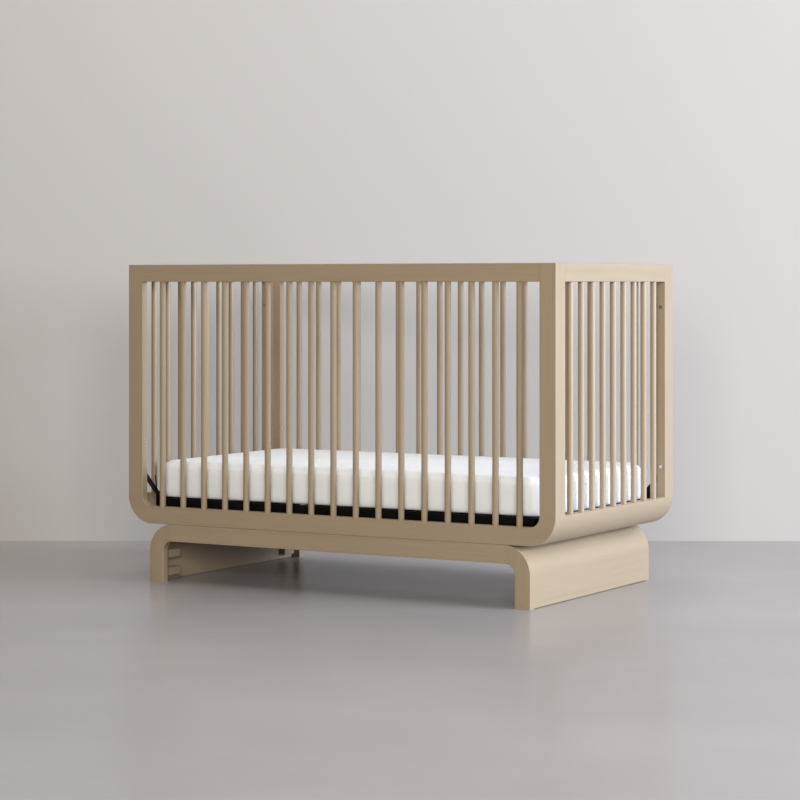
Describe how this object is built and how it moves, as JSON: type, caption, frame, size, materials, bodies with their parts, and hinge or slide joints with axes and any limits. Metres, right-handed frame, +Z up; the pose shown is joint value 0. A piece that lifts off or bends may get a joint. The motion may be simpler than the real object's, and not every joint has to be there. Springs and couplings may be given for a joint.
{
  "type": "baby crib",
  "caption": "Wooden baby crib with spindle sides and ends, rounded lower corners, a plinth base, a steel mattress support that can be raised, and a lift-out mattress.",
  "frame": {"origin": "on the floor, under the middle of the crib", "axes": "+Z up, +X along the crib's length, -Y towards the long side that is seen from the front"},
  "size_m": [1.43, 0.78, 0.945],
  "materials": {
    "frame_wood": "pale clear-oiled hardwood, satin",
    "spindle_wood": "pale clear-oiled hardwood, turned and sanded",
    "base_wood": "pale clear-oiled hardwood, satin",
    "black_steel": "black powder coat",
    "zinc_steel": "zinc plated",
    "mattress_cover": "plain white woven cover"
  },
  "bodies": {
    "crib": {"back_bottom_rail": "frame_wood", "back_left_corner": "frame_wood", "back_left_stile": "frame_wood", "back_right_corner": "frame_wood", "back_right_stile": "frame_wood", "back_spindles": "spindle_wood", "back_top_rail": "frame_wood", "base_back_left_leg": "base_wood", "base_back_rail": "base_wood", "base_back_right_leg": "base_wood", "base_front_left_leg": "base_wood", "base_front_rail": "base_wood", "base_front_right_leg": "base_wood", "base_glue_blocks": "base_wood", "base_left_panel": "base_wood", "base_right_panel": "base_wood", "frame_bolts": "zinc_steel", "frame_inserts": "zinc_steel", "front_bottom_rail": "frame_wood", "front_left_corner": "frame_wood", "front_left_stile": "frame_wood", "front_right_corner": "frame_wood", "front_right_stile": "frame_wood", "front_spindles": "spindle_wood", "front_top_rail": "frame_wood", "hanger_inserts": "zinc_steel", "left_back_stile": "frame_wood", "left_bottom_rail": "frame_wood", "left_front_stile": "frame_wood", "left_spindles": "spindle_wood", "left_top_rail": "frame_wood", "right_back_stile": "frame_wood", "right_bottom_rail": "frame_wood", "right_front_stile": "frame_wood", "right_spindles": "spindle_wood", "right_top_rail": "frame_wood", "spare_inserts": "zinc_steel"},
    "mattress_support": {"hanger_back_left": "black_steel", "hanger_back_right": "black_steel", "hanger_front_left": "black_steel", "hanger_front_right": "black_steel", "hanger_screws": "black_steel", "support_back_tube": "black_steel", "support_front_tube": "black_steel", "support_left_tube": "black_steel", "support_right_tube": "black_steel", "support_slats": "black_steel"},
    "mattress": {"mattress": "mattress_cover"}
  },
  "joints": [
    {"name": "support_height", "type": "slide", "parent": "crib", "child": "mattress_support", "axis": [0, 0, 1], "range_m": [0, 0.076]},
    {"name": "mattress_lift", "type": "slide", "parent": "mattress_support", "child": "mattress", "axis": [0, 0, 1], "range_m": [0, 0.7]}
  ]
}
